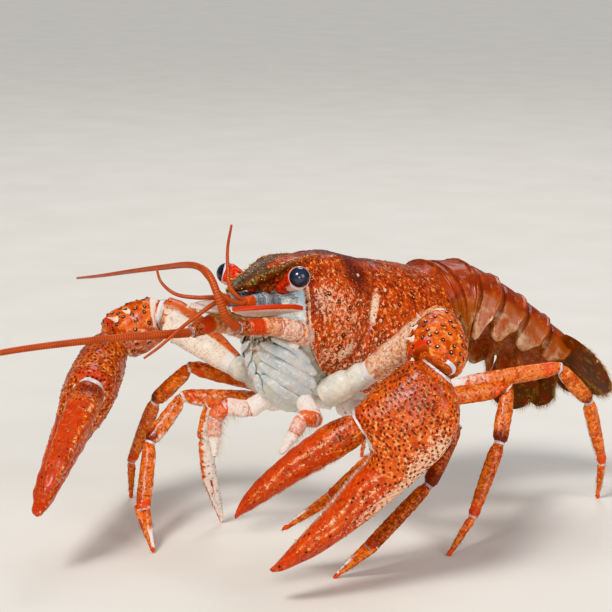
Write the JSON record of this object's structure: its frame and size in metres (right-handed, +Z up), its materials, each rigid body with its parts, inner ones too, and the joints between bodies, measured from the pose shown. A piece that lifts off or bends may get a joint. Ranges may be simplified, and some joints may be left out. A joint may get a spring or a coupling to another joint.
{
  "type": "narrow-clawed crayfish",
  "caption": "Life-size freshwater crayfish with long slim claws, standing on its legs with the claws lowered and spread and the tail half curled.",
  "frame": {"origin": "on the floor under the middle of the whole, feelers included", "axes": "+Z up from the floor, -Y the way the animal faces, +X the animal's left"},
  "size_m": [0.1479, 0.2003, 0.0826],
  "materials": {
    "shell": "wet shell of the back, red-brown mottled with cream",
    "limb": "wet shell of the legs, orange-red speckled",
    "claw": "wet shell of the claws, orange with dark tubercles",
    "pale": "pale mouthparts with hairs",
    "eye": "black glossy cornea",
    "feeler": "dark red ringed feeler"
  },
  "bodies": {
    "root": {"abdomen_1": "shell", "abdomen_2": "shell", "abdomen_3": "shell", "abdomen_4": "shell", "abdomen_5": "shell", "abdomen_6": "shell", "antenna_base_left": "limb", "antenna_base_right": "limb", "antenna_left": "feeler", "antenna_right": "feeler", "antenna_scale_left": "claw", "antenna_scale_right": "claw", "antennule_left": "limb", "antennule_right": "limb", "claw_arm_left": "claw", "claw_arm_right": "claw", "claw_base_left": "limb", "claw_base_right": "limb", "claw_finger_left": "claw", "claw_finger_right": "claw", "claw_palm_left": "claw", "claw_palm_right": "claw", "claw_wrist_left": "claw", "claw_wrist_right": "claw", "eye_left": "eye", "eye_right": "eye", "eye_stalk_left": "limb", "eye_stalk_right": "limb", "head": "shell", "leg2_left_lower": "limb", "leg2_left_upper": "limb", "leg2_right_lower": "limb", "leg2_right_upper": "limb", "leg3_left_lower": "limb", "leg3_left_upper": "limb", "leg3_right_lower": "limb", "leg3_right_upper": "limb", "leg4_left_lower": "limb", "leg4_left_upper": "limb", "leg4_right_lower": "limb", "leg4_right_upper": "limb", "leg5_left_lower": "limb", "leg5_left_upper": "limb", "leg5_right_lower": "limb", "leg5_right_upper": "limb", "maxilliped_left": "pale", "maxilliped_right": "pale", "mouthparts": "pale", "telson": "shell", "thorax": "shell", "uropod_inner_left": "shell", "uropod_inner_right": "shell", "uropod_outer_left": "shell", "uropod_outer_right": "shell"}
  },
  "joints": []
}
